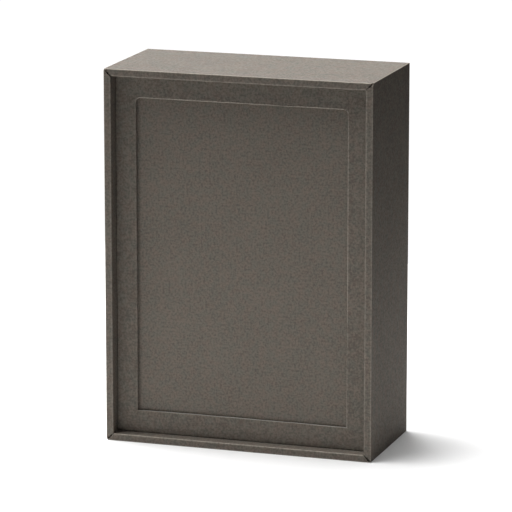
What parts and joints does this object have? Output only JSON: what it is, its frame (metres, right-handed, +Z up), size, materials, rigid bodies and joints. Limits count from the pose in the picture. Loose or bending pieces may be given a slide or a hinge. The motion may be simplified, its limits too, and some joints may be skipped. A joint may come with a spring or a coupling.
{
  "type": "archival box",
  "caption": "Upright telescoping storage box: a deep cloth-covered lid with a mitred rim round a recessed window panel slides over an open tray.",
  "frame": {"origin": "middle of the footprint, on the surface the box stands on", "axes": "+Z up the box's height, front panel towards -Y, +X across its width"},
  "size_m": [0.238, 0.11, 0.325],
  "materials": {
    "cover_cloth": "matt, fine cross weave",
    "greyboard": "matt, raw cut edge",
    "lining_paper": "matt"
  },
  "bodies": {
    "lid": {"lid_wall_bottom": "greyboard", "lid_wall_right": "greyboard", "lid_wall_top": "greyboard", "lid_wall_left": "greyboard", "lid_rim_bottom": "greyboard", "lid_rim_right": "greyboard", "lid_rim_top": "greyboard", "lid_rim_left": "greyboard", "lid_recess_bottom": "greyboard", "lid_recess_right": "greyboard", "lid_recess_top": "greyboard", "lid_recess_left": "greyboard", "lid_panel_board": "greyboard", "lid_field_cloth": "cover_cloth", "lid_pocket_spacer": "greyboard", "lid_window_board": "greyboard", "lid_window_cloth": "cover_cloth", "lid_cover_bottom": "cover_cloth", "lid_cover_right": "cover_cloth", "lid_cover_top": "cover_cloth", "lid_cover_left": "cover_cloth", "lid_lining_bottom": "lining_paper", "lid_lining_right": "lining_paper", "lid_lining_top": "lining_paper", "lid_lining_left": "lining_paper", "lid_lining_panel": "lining_paper"},
    "tray": {"tray_wall_bottom": "greyboard", "tray_wall_right": "greyboard", "tray_wall_top": "greyboard", "tray_wall_left": "greyboard", "tray_cover_bottom": "cover_cloth", "tray_cover_right": "cover_cloth", "tray_cover_top": "cover_cloth", "tray_cover_left": "cover_cloth", "tray_lining_bottom": "lining_paper", "tray_lining_right": "lining_paper", "tray_lining_top": "lining_paper", "tray_lining_left": "lining_paper", "tray_base_board": "greyboard", "tray_base_cover": "cover_cloth", "tray_lining_base": "lining_paper"}
  },
  "joints": [
    {"name": "tray_slide", "type": "slide", "parent": "lid", "child": "tray", "axis": [0, 1, 0], "range_m": [0, 0.16]}
  ]
}
